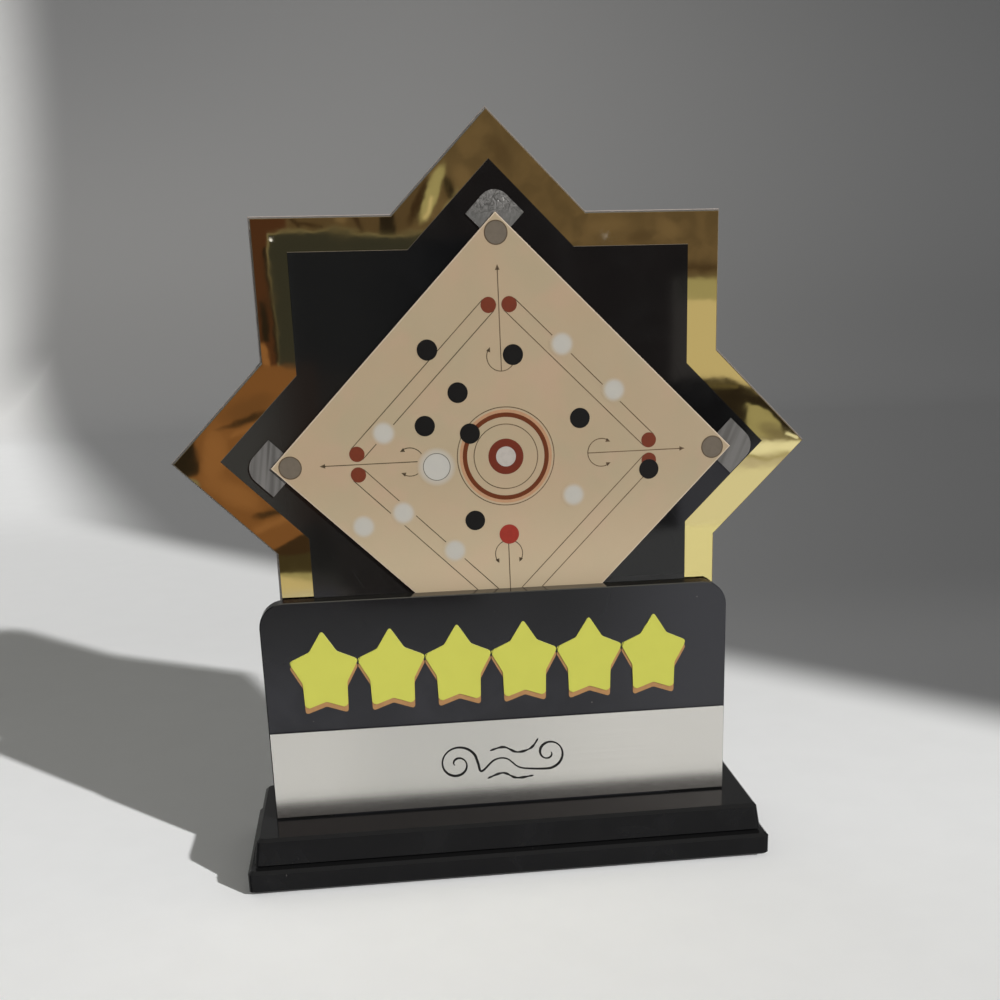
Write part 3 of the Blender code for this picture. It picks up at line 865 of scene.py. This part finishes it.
def build_title(materials):
    place = face_matrix(0.0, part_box("front_panel")[0].y, 0.0)
    bm = bmesh.new()
    for outline in title_stars(TITLE_DROP):
        prism(bm, outline, -SHADE_INK, 0.0)
    add_piece("title_shade", bm, materials["ink_orange"], place)
    bm = bmesh.new()
    for outline in title_stars(0.0):
        prism(bm, outline, -TITLE_INK, 0.0)
    bevel_front(bm, -TITLE_INK, TITLE_BEVEL)
    add_piece("title_stars", bm, materials["ink_yellow"], place)


def smooth_path(points, steps=14):
    """A Catmull-Rom curve through the points."""
    path = []
    padded = [points[0]] + list(points) + [points[-1]]
    for i in range(1, len(padded) - 2):
        a, b, c, d = (Vector(padded[i + k]) for k in (-1, 0, 1, 2))
        for k in range(steps):
            t = k / steps
            path.append(
                (b * 2 + (c - a) * t + (a * 2 - b * 5 + c * 4 - d) * t * t
                 + (b * 3 - a - c * 3 + d) * t ** 3) / 2
            )
    path.append(Vector(padded[-2]))
    return path


def flourish_paths():
    """A pen ornament that spells nothing: curls at both ends of a wave, and two long dashes."""
    left = curl((-14.2, 29.0), 200.0, -360.0, 0.8, 6.0)
    wave = [(-7.2, 26.4), (-3.4, 29.6), (0.2, 29.8), (3.6, 27.0), (7.0, 26.2)]
    right = curl((12.6, 30.8), 262.0, 732.0, 5.0, 0.7)
    upper = [(-4.6, 32.6), (-0.5, 33.4), (3.4, 31.6), (7.4, 32.6), (9.6, 35.4)]
    lower = [(-5.6, 24.0), (-1.0, 25.4), (3.0, 23.6), (8.0, 24.0)]
    return [left + wave + right, upper, lower]


def build_flourish(material):
    place = face_matrix(0.0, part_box("silver_strip")[0].y, 0.0)
    bm = bmesh.new()
    for points in flourish_paths():
        path = smooth_path(points)
        widths = []
        for i in range(len(path)):
            along = i / (len(path) - 1)
            taper = min(1.0, PEN_TAPER * min(along, 1.0 - along) + PEN_TIP)
            widths.append((PEN_WIDTH + PEN_SWELL * math.sin(PEN_BEAT * along)) * taper)
        stroke(bm, path, widths, -PEN_INK, 0.0)
    add_piece("strip_flourish", bm, material, place)


# ---------------------------------------- studio


def emission(nodes, color, strength=1.0):
    return nodes.add("ShaderNodeEmission", {"Color": color, "Strength": strength})


def build_world():
    world = bpy.data.worlds.new("studio_world")
    bpy.context.scene.world = world
    world.use_nodes = True
    n = Nodes(world.node_tree)
    ray = n.add("ShaderNodeTexCoord", output="Generated")
    rise = n.ramp(n.axis(ray, "Z"), -0.1, 0.9)
    tone = n.mix(rise, (0.62, 0.61, 0.55), (1.0, 0.99, 0.90))
    shader = n.add("ShaderNodeBackground", {"Color": tone, "Strength": FILL_STRENGTH})
    out = n.tree.nodes.new("ShaderNodeOutputWorld")
    n.tree.links.new(shader, out.inputs["Surface"])


def grey(level, cool=0.03):
    return level, level * (1.0 + cool / 3.0), level * (1.0 + cool)


def floor_material():
    """Pale floor with painted shade: mid grey towards the back, a pale strip left at its far left."""
    material, n = new_material("studio_floor")
    place = n.place()
    x, y, z = (n.axis(place, name) for name in "XYZ")
    # Painted shadow: past a slanting line across the floor the pale turns to painted shade, except in
    # a pale strip at the far left.
    behind = n.ramp(n.math("MULTIPLY_ADD", x, 1.20, y), 0.276, 0.356)
    inside = n.ramp(n.math("MULTIPLY_ADD", y, 0.29, x), -0.106, -0.001)
    inside = n.math("MAXIMUM", inside, n.ramp(y, 1.30, 1.52))
    inside = n.math("MULTIPLY", inside, n.ramp(x, -0.575, -0.440))
    # Painted light falloff on the pale part: brighter and darker bands from front to back, dimmer up
    # the wall, and a faint random mottle.
    pale = n.mix(n.ramp(y, -0.02, 0.30), grey(0.91), grey(0.77))
    pale = n.mix(n.ramp(y, 0.50, 0.75), pale, grey(0.88))
    pale = n.mix(n.ramp(y, 1.10, 1.40), pale, grey(0.66, 0.0))
    pale = n.mix(n.ramp(y, 1.44, 1.68), pale, grey(0.44, 0.0))
    pale = n.mix(n.ramp(n.noise(60.0, 3.0), 0.3, 0.7, 0.0, 0.04), pale, grey(0.60))
    # Painted shade in the grey part: darker towards the right as the camera sees it, on floor and
    # wall, and darker again at the wall's upper left.
    aside = n.math("DIVIDE", x, n.math("SUBTRACT", y, CAMERA_PLACE[1]))
    near = n.mix(n.ramp(aside, -0.16, 0.60), grey(0.215), grey(0.125, 0.05))
    near = n.mix(n.ramp(y, 0.34, 0.16, 0.0, 0.3), near, grey(0.250))
    wall = n.mix(n.ramp(aside, -0.15, 0.58), grey(0.172, 0.0), grey(0.084, 0.05))
    painted_upper_left_shading = n.math("MULTIPLY", n.ramp(z, 0.15, 0.60, 0.0, 0.7), n.ramp(x, 0.30, -0.50))
    wall = n.mix(painted_upper_left_shading, wall, grey(0.120))
    dark = n.mix(n.ramp(y, 1.15, 1.60), near, wall)
    surface(n, principled(
        n,
        Base_Color=n.mix(n.math("MULTIPLY", behind, inside), pale, dark),
        Roughness=0.9,
        Specular_IOR_Level=0.1,
    ))
    return material


def build_floor():
    """A wide floor that curves up into a wall behind the object."""
    side, start, radius, top, steps = 5.0, 1.2, 0.6, 2.6, 16
    profile = [(-6.0, 0.0), (-0.6, 0.0), (start, 0.0)]
    for i in range(1, steps + 1):
        angle = math.radians(90.0 * i / steps)
        profile.append((start + radius * math.sin(angle), radius * (1.0 - math.cos(angle))))
    profile.append((start + radius, top))
    bm = bmesh.new()
    rows = [[bm.verts.new((x, y, z)) for x in (-side, side)] for y, z in profile]
    for one, other in zip(rows, rows[1:]):
        bm.faces.new((one[0], one[1], other[1], other[0]))
    mesh = bpy.data.meshes.new("studio_floor")
    bm.to_mesh(mesh)
    mesh.shade_smooth()
    bm.free()
    mesh.materials.append(floor_material())
    obj = bpy.data.objects.new("studio_floor", mesh)
    bpy.context.scene.collection.objects.link(obj)


def patch(n, spot, oval, centre, half, turn, soft):
    """1 inside a soft-edged, turned box or oval on the mirror, 0 outside. In millimetres."""
    shift = n.add("ShaderNodeVectorMath", {0: spot, 1: (*centre, 0.0)}, operation="SUBTRACT")
    turned = n.add(
        "ShaderNodeVectorRotate",
        {"Vector": shift, "Angle": math.radians(-turn)},
        rotation_type="Z_AXIS",
    )
    x, z = (n.math("ABSOLUTE", n.axis(turned, name)) for name in "XY")
    if oval:
        reach = n.math("ADD", n.math("POWER", n.math("DIVIDE", x, half[0]), 2.0),
                       n.math("POWER", n.math("DIVIDE", z, half[1]), 2.0))
        spread = soft / min(half)
        return n.ramp(reach, 1.0 + spread, 1.0 - spread)
    return n.math("MULTIPLY", n.ramp(x, half[0] + soft, half[0] - soft),
                  n.ramp(z, half[1] + soft, half[1] - soft))


# Tones that the gold mirror shows, 0 to 255. The first two are its ground.
GROUND_DARK = (86, 68, 40)
GROUND_LIGHT = (100, 79, 47)
SOOT = (36, 28, 16)
UMBER = (54, 38, 20)
BROWN = (70, 42, 22)
TAN = (102, 66, 32)
COPPER = (114, 73, 35)
AMBER = (131, 86, 43)
MOSS = (49, 46, 32)
BARK = (58, 48, 25)
OLIVE = (86, 73, 38)
BRONZE = (80, 62, 36)
DULL_GOLD = (106, 84, 50)
KHAKI = (114, 100, 62)
OLD_GOLD = (148, 134, 80)
SAND = (178, 162, 116)
GOLD = (184, 162, 102)
PALE_GOLD = (207, 192, 134)
LIGHT_GOLD = (222, 208, 150)
SPARK = (255, 246, 224)

# How far the mirror's slow waviness shifts the patches, in millimetres.
MIRROR_WAVE = 1.2

# What the gold mirror faces, patch over patch, in millimetres on the mirror: kind, centre, half
# size, turn in degrees, softness and tone.
BOX, OVAL = False, True
TOP_PATCHES = (
    (OVAL, (5.0, 194.0), (2.2, 3.6), 30.0, 3.0, BRONZE),
    (OVAL, (-5.5, 188.0), (2.2, 3.2), 40.0, 3.0, DULL_GOLD),
    (OVAL, (33.0, 176.5), (5.0, 1.8), 10.0, 2.4, DULL_GOLD),
    (OVAL, (41.0, 173.5), (3.0, 1.6), 10.0, 2.4, BRONZE),
    (OVAL, (49.0, 176.0), (3.0, 2.0), -30.0, 2.4, DULL_GOLD),
    (OVAL, (32.0, 173.8), (0.3, 0.3), 0.0, 0.1, SPARK),
    (BOX, (59.0, 165.2), (8.0, 1.0), 0.0, 2.0, UMBER),
)
RIGHT_PATCHES = (
    (BOX, (65.0, 146.2), (14.0, 15.6), 0.0, 0.5, GOLD),
    (BOX, (58.6, 159.4), (6.0, 3.1), 0.0, 0.5, OLD_GOLD),
    (OVAL, (60.0, 107.0), (28.6, 28.6), 0.0, 0.6, SOOT),
    (BOX, (65.4, 133.4), (4.4, 0.55), -6.0, 0.5, OLIVE),
    (BOX, (84.6, 120.4), (3.4, 3.0), 0.0, 0.5, SOOT),
    (OVAL, (71.9, 116.4), (11.6, 11.2), 0.0, 0.6, OLD_GOLD),
    (OVAL, (81.4, 118.8), (5.0, 1.8), -20.0, 2.6, KHAKI),
    (BOX, (67.2, 124.0), (5.2, 8.0), 0.0, 0.3, SOOT),
    (BOX, (78.0, 99.5), (25.0, 17.4), 0.0, 0.25, PALE_GOLD),
    (BOX, (80.0, 117.0), (9.0, 0.45), 0.0, 0.3, KHAKI),
    (BOX, (86.4, 118.1), (1.9, 0.5), -16.0, 0.2, LIGHT_GOLD),
    (BOX, (79.0, 114.9), (12.0, 1.4), 0.0, 0.6, LIGHT_GOLD),
    (BOX, (77.0, 111.4), (12.0, 1.4), 0.0, 0.9, SAND),
    (BOX, (75.4, 112.3), (4.2, 0.45), -12.0, 0.3, OLD_GOLD),
    (BOX, (82.0, 112.3), (3.6, 0.45), 12.0, 0.3, OLD_GOLD),
)
SLOPE_PATCHES = (
    (BOX, (-22.0, 179.5), (3.0, 9.0), -32.0, 2.0, BRONZE),
    (OVAL, (-17.9, 182.4), (1.3, 6.4), -29.0, 0.8, UMBER),
    (OVAL, (-14.3, 184.2), (1.8, 7.6), -29.0, 0.8, OLD_GOLD),
    (BOX, (-15.6, 181.0), (0.5, 3.0), -29.0, 0.6, GOLD),
    (OVAL, (-9.0, 184.6), (1.0, 3.8), 18.0, 0.8, SOOT),
    (BOX, (-9.4, 183.0), (0.22, 3.6), -46.0, 0.2, KHAKI),
)
CORNER_PATCHES = (
    (BOX, (-64.0, 160.0), (12.0, 24.0), 0.0, 0.5, BROWN),
    (BOX, (-39.0, 178.3), (12.5, 3.6), 0.0, 0.8, BRONZE),
    (BOX, (-49.6, 177.2), (0.45, 2.2), 38.0, 0.3, UMBER),
    (BOX, (-45.5, 176.3), (4.0, 0.4), -8.0, 0.4, UMBER),
    (OVAL, (-36.6, 178.2), (1.7, 2.0), 20.0, 0.8, DULL_GOLD),
    (BOX, (-32.8, 178.0), (0.6, 3.0), 14.0, 0.4, UMBER),
    (BOX, (-26.0, 177.6), (1.7, 2.6), 0.0, 0.35, SOOT),
    (BOX, (-24.0, 157.6), (33.0, 17.6), 0.0, 0.25, KHAKI),
    (BOX, (-24.0, 157.2), (32.6, 17.5), 0.0, 0.3, MOSS),
    (BOX, (-57.3, 158.0), (0.4, 14.0), 1.0, 0.3, SOOT),
    (OVAL, (-56.1, 173.5), (0.36, 0.36), 0.0, 0.15, SPARK),
)
LEFT_PATCHES = (
    (BOX, (-59.6, 154.5), (1.0, 5.0), 0.0, 0.5, SOOT),
    (OVAL, (-60.4, 145.5), (1.1, 3.8), 4.0, 0.6, AMBER),
    (BOX, (-70.0, 117.0), (24.0, 26.0), 0.0, 0.9, COPPER),
    (OVAL, (-75.5, 119.0), (2.6, 8.0), -12.0, 2.5, AMBER),
    (OVAL, (-71.0, 109.0), (6.0, 2.6), -30.0, 2.5, AMBER),
    (OVAL, (-66.0, 132.5), (6.5, 2.6), 22.0, 2.5, TAN),
    (OVAL, (-65.6, 129.5), (7.2, 1.0), 19.0, 0.9, UMBER),
    (BOX, (-65.5, 127.2), (6.5, 0.7), 21.0, 0.8, AMBER),
    (OVAL, (-62.3, 104.4), (5.0, 1.0), 12.0, 0.8, UMBER),
    (BOX, (-62.0, 101.6), (6.0, 1.0), 22.0, 0.9, AMBER),
    (BOX, (-88.0, 120.6), (8.1, 7.2), 4.0, 0.5, SOOT),
    (BOX, (-82.0, 112.3), (2.4, 0.9), -20.0, 0.5, KHAKI),
)
FOOT_PATCHES = (
    (BOX, (-58.0, 89.6), (14.0, 5.4), 28.0, 0.4, UMBER),
    (BOX, (-58.0, 86.9), (14.0, 5.0), 0.0, 0.6, BARK),
    (BOX, (-58.0, 80.8), (14.0, 5.0), 0.0, 0.5, OLD_GOLD),
    (BOX, (-56.5, 74.9), (14.0, 9.0), -10.5, 0.4, GOLD),
    (BOX, (-57.0, 78.0), (12.0, 2.6), 3.0, 1.2, SAND),
)
CARD_PATCHES = (
    TOP_PATCHES + RIGHT_PATCHES + SLOPE_PATCHES + CORNER_PATCHES + LEFT_PATCHES + FOOT_PATCHES
)


def faced(color):
    """The light that makes the gold mirror show a colour, given as 0 to 255."""
    return tuple(
        ((c / 255.0 + 0.055) / 1.055) ** 2.4 / tint for c, tint in zip(color, GOLD_TINT)
    )


def card_material():
    """Paints the card in the mirror's own millimetres, as the fitted camera sees it there."""
    material, n = new_material("reflection_card")
    mirror_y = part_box("gold_mirror_star")[0].y
    behind = 2 * mirror_y - CAMERA_PLACE[1]
    place = n.add("ShaderNodeNewGeometry", output="Position")
    depth = n.math("SUBTRACT", behind, n.axis(place, "Y"))
    share = n.math("DIVIDE", behind - mirror_y, depth)
    spots = []
    for name, centre in (("X", CAMERA_PLACE[0]), ("Z", CAMERA_PLACE[2])):
        offset = n.math("SUBTRACT", n.axis(place, name), centre)
        on_mirror = n.math("MULTIPLY_ADD", offset, share, centre)
        spots.append(n.math("MULTIPLY", on_mirror, 1.0 / MM))
    spot = n.add("ShaderNodeCombineXYZ", {"X": spots[0], "Y": spots[1]})
    wave = n.add("ShaderNodeTexNoise", {"Vector": spot, "Scale": 0.07, "Detail": 1.0}, output=1)
    wave = n.add("ShaderNodeVectorMath", {0: wave, 1: (0.5, 0.5, 0.5)}, operation="SUBTRACT")
    shift = {0: wave, 1: (MIRROR_WAVE, MIRROR_WAVE, 0.0), 2: spot}
    spot = n.add("ShaderNodeVectorMath", shift, operation="MULTIPLY_ADD")
    mottle = n.noise(0.16, 3.0, spot, 0.8, 0.6)
    tone = n.mix(n.ramp(mottle, 0.35, 0.70), faced(GROUND_DARK), faced(GROUND_LIGHT))
    for *shape, color in CARD_PATCHES:
        tone = n.mix(patch(n, spot, *shape), tone, faced(color))
    # The card glows with painted reflections for the gold mirror; it lights nothing else.
    surface(n, emission(n, tone))
    return material


def build_card():
    """A card that only mirror rays meet, so the studio light stays plain."""
    bm = bmesh.new()
    far, near, high, low, side, edge = -0.496, -0.330, 0.800, 0.001, 0.900, 0.020
    upright = ((-side, far, low), (side, far, low), (side, far, high), (-side, far, high))
    lying = ((-side, near, low), (edge, near, low), (edge, far, low), (-side, far, low))
    for corners in (upright, lying):
        bm.faces.new([bm.verts.new(corner) for corner in corners])
    mesh = bpy.data.meshes.new("reflection_card")
    bm.to_mesh(mesh)
    bm.free()
    mesh.materials.append(card_material())
    obj = bpy.data.objects.new("reflection_card", mesh)
    bpy.context.scene.collection.objects.link(obj)
    for ray in ("camera", "diffuse", "shadow", "transmission"):
        setattr(obj, f"visible_{ray}", False)


def build_lights():
    """One key light, far off to the front right; the world fills the rest."""
    light = bpy.data.lights.new("key_light", "SUN")
    light.energy = KEY_STRENGTH
    light.angle = KEY_ANGLE
    light.color = (1.0, 0.99, 0.97)
    obj = bpy.data.objects.new("key_light", light)
    bpy.context.scene.collection.objects.link(obj)
    obj.rotation_euler = Vector(KEY_TRAVEL).to_track_quat("-Z", "Y").to_euler()


def build_camera():
    """The fitted camera. Its lens shift holds only at this place, so other views stay centred."""
    data = bpy.data.cameras.new("photo_camera")
    data.lens = CAMERA_LENS
    data.sensor_width = CAMERA_SENSOR
    data.clip_start = 0.01
    data.clip_end = 50.0
    camera = bpy.data.objects.new("photo_camera", data)
    bpy.context.scene.collection.objects.link(camera)
    bpy.context.scene.camera = camera
    forward = Vector((
        math.sin(CAMERA_YAW) * math.cos(CAMERA_PITCH),
        math.cos(CAMERA_YAW) * math.cos(CAMERA_PITCH),
        math.sin(CAMERA_PITCH),
    ))
    right = Vector((math.cos(CAMERA_YAW), -math.sin(CAMERA_YAW), 0.0))
    up = right.cross(forward)
    cos_roll, sin_roll = math.cos(CAMERA_ROLL), math.sin(CAMERA_ROLL)
    axes = (right * cos_roll + up * sin_roll, up * cos_roll - right * sin_roll, -forward)
    camera.matrix_world = Matrix.Translation(CAMERA_PLACE) @ Matrix(axes).transposed().to_4x4()
    for channel, amount in CAMERA_SHIFT.items():
        driver = data.driver_add(channel).driver
        driver.type = "SCRIPTED"
        gaps = []
        for letter, place in zip("XYZ", CAMERA_PLACE):
            variable = driver.variables.new()
            variable.name = letter.lower()
            variable.type = "TRANSFORMS"
            variable.targets[0].id = camera
            variable.targets[0].transform_type = f"LOC_{letter}"
            gaps.append(f"abs({letter.lower()} - ({place:.6f}))")
        driver.expression = f"{amount} if {' + '.join(gaps)} < {CAMERA_REACH} else 0.0"


# ---------------------------------------- assembly


# Corner plates: lean and width of the streaks, wander, crumple, light and contrast.
CORNER_LOOKS = {
    "left": (0.17, 0.0024, 0.5, 0.0, 0.105, 1.0),
    "right": (0.40, 0.0022, 0.4, 0.0, 0.100, 0.6),
    "bottom": (0.70, 0.0018, 0.4, 0.0, 0.150, 1.0),
    "top": (0.30, 0.0014, 0.8, 0.8, 0.110, 1.7),
}


def assign_finishes():
    """A procedural material on every CAD node."""
    # The last colour of each black finish, and the panel's bevel colour, are painted highlight for
    # faces that look up; the star and panel tones also carry painted reflection.
    plinth = black_acrylic(
        "plinth_finish", (0.0030, 0.0030, 0.0035), 0.16, 0.12, (0.0100, 0.0100, 0.0105), 0.3,
        top_gloss=0.27,
    )
    star = black_acrylic(
        "star_finish", (0.0034, 0.0035, 0.0036), 0.50, 0.06, (0.115, 0.095, 0.070), 0.25,
        wash=star_wash,
    )
    panel = black_acrylic(
        "panel_finish", (0.0110, 0.0112, 0.0140), 0.34, 0.10, (0.018, 0.017, 0.015), 0.3,
        wash=panel_wash, bevel=(0.050, 0.048, 0.042), unseen=panel_rim,
        side_gloss=(0.1, 0.35, 0.05),
    )
    tape = sponge("tape_finish", (0.74, 0.73, 0.69), (0.56, 0.55, 0.51), 1400.0)
    finishes = {
        "felt_sheet": black_felt(),
        "plinth_lower_step": plinth,
        "plinth_upper_step": plinth,
        "front_panel": panel,
        "silver_strip": satin_silver(),
        "clear_backing_star": clear_acrylic(),
        "gold_mirror_star": gold_mirror(),
        "black_star": star,
        "board_plate": printed_board("printed_board_finish"),
    }
    for corner, look in CORNER_LOOKS.items():
        finishes[f"corner_plate_{corner}"] = brushed_plate(f"plate_{corner}_finish", *look)
    steel = zinc_steel()
    foam = sponge("foam_finish", (0.70, 0.70, 0.68), (0.34, 0.34, 0.33), 1100.0)
    for node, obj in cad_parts.items():
        if node.startswith("plinth_screw"):
            finish = steel
        elif node.startswith("panel_pad"):
            finish = foam
        else:
            finish = finishes.get(node, tape)
        obj.data.materials.clear()
        obj.data.materials.append(finish)


def make_inks():
    colors = {
        "ink_black": (0.0035, 0.0033, 0.003),
        "ink_red": (0.100, 0.015, 0.006),
        "ink_base": (0.112, 0.022, 0.009),
        "ink_queen": (0.208, 0.020, 0.012),
        "ink_brown": (0.088, 0.019, 0.004),
        "ink_pink": (0.320, 0.180, 0.100),
        "ink_grey": (0.104, 0.086, 0.066),
        "ink_rim": (0.062, 0.042, 0.026),
        "ink_thin_grey": (0.110, 0.100, 0.085),
        "ink_white": (0.315, 0.288, 0.262),
        "ink_orange": (0.300, 0.160, 0.066),
        "ink_pen": (0.005, 0.005, 0.005),
    }
    inks = {name: ink(name, color) for name, color in colors.items()}
    inks["ink_line"] = line_ink()
    # The yellow ink's second colour is painted highlight for its upper bevels.
    inks["ink_yellow"] = raised_ink("ink_yellow", (0.405, 0.405, 0.068), (0.62, 0.62, 0.30))
    inks["ink_soft_white"] = printed_board("ink_soft_white", fade=True)
    return inks


def main():
    bpy.context.scene.view_settings.view_transform = "Standard"
    assign_finishes()
    inks = make_inks()
    build_board_print(inks)
    build_title(inks)
    build_flourish(inks["ink_pen"])
    build_world()
    build_floor()
    build_card()
    build_lights()
    build_camera()


main()
